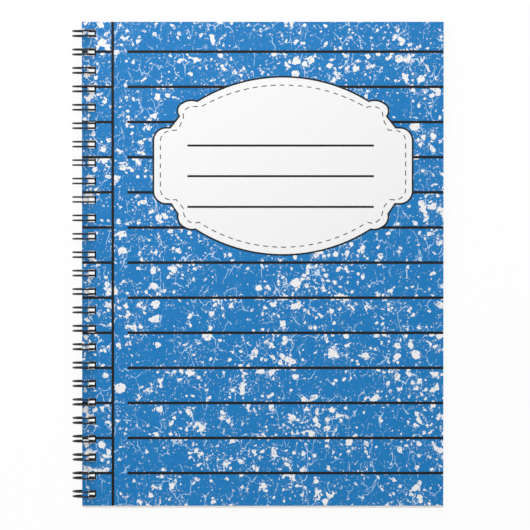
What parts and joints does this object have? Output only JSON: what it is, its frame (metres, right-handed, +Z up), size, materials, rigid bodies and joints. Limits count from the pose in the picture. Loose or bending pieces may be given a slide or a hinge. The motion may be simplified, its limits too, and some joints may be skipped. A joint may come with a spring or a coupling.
{
  "type": "composition notebook",
  "caption": "Twin-loop wire-bound composition notebook with a speckled card cover, a plain back board and ruled leaves.",
  "frame": {"origin": "on the floor, under the middle of the whole notebook lying on its back", "axes": "+X from the spine to the fore edge, +Y from the foot to the head, +Z up out of the front cover"},
  "size_m": [0.1706, 0.2236, 0.0113],
  "materials": {
    "cover_card": "printed card with a satin film",
    "paper": "uncoated writing paper",
    "back_board": "plain white-lined board",
    "wire": "black coated wire"
  },
  "bodies": {
    "leaves": {"page_block": "paper", "binding_wire": "wire"},
    "front": {"front_cover": "cover_card"},
    "back": {"back_cover": "back_board"}
  },
  "joints": [
    {"name": "front_cover_turn", "type": "hinge", "parent": "leaves", "child": "front", "pos_m": [-0.08078, 0, 0.00564], "axis": [0, -1, 0], "range_deg": [0, 180]},
    {"name": "back_cover_turn", "type": "hinge", "parent": "leaves", "child": "back", "pos_m": [-0.08078, 0, 0.00564], "axis": [0, 1, 0], "range_deg": [0, 180]}
  ]
}
